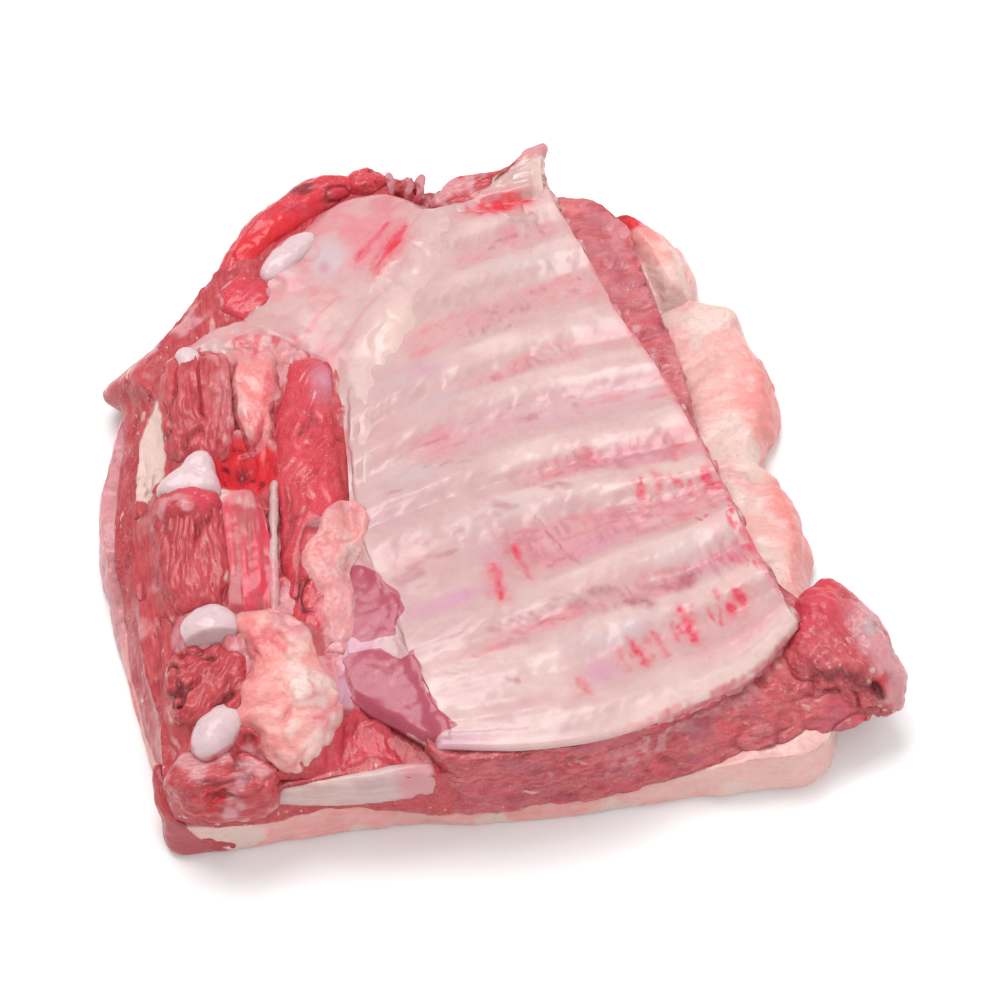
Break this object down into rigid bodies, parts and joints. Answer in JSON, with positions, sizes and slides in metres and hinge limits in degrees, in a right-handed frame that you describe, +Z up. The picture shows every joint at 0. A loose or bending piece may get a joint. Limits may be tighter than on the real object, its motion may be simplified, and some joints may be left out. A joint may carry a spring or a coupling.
{
  "type": "raw pork spare ribs",
  "caption": "Slab of raw pork spare ribs lying fat side down, inside of the rib cage up, with the trimmed backbone edge and sawn rib ends.",
  "frame": {"origin": "middle of the rectangle that the slab covers, on the surface that it lies on", "axes": "+Z up from the fat side to the inside of the rib cage, +X from the backbone side to the belly side, +Y from the front cut to the back cut"},
  "size_m": [0.2902, 0.296, 0.0545],
  "materials": {
    "fat": "cream to pink pork fat, lobed, moist with a soft sheen",
    "lean": "raw pork muscle, fibrous, dark pink-red, moist",
    "fresh": "freshly cut or bloody muscle, deep red and glossy",
    "membrane": "milky membrane over muscle, pink between the ribs, glossy",
    "fascia": "thin purple-red muscle under a translucent skin, with white threads",
    "bone": "sawn rib bone, pale with a red marrow",
    "cartilage": "smooth bluish-white cartilage, wet"
  },
  "bodies": {
    "root": {"cap_1": "cartilage", "cap_2": "cartilage", "cap_3": "cartilage", "cap_4": "cartilage", "cap_5": "cartilage", "rib_1": "bone", "rib_2": "bone", "rib_3": "bone", "rib_4": "bone", "rib_5": "bone", "rib_6": "bone", "rib_7": "bone", "rib_8": "bone", "rib_9": "bone", "fat_ribbon": "fat", "rib_sheet": "membrane", "front_bone": "bone", "tendon": "membrane", "white_strip": "membrane", "tenderloin": "fresh", "fat_lump": "fat", "fat_knob": "fat", "fat_shelf": "fat", "shoulder": "membrane", "chine_meat_1": "lean", "chine_meat_2": "lean", "chine_meat_3": "lean", "chine_meat_4": "lean", "chine_meat_5": "fresh", "rim_meat": "fresh", "top_lump": "fresh", "torn_edge": "lean", "back_flap": "lean", "corner_roll": "lean", "belly_knob": "fat", "corner_meat": "lean", "diaphragm": "fascia", "belly_muscle": "lean", "loin_muscle": "lean", "fat_cap": "fat"}
  },
  "joints": []
}
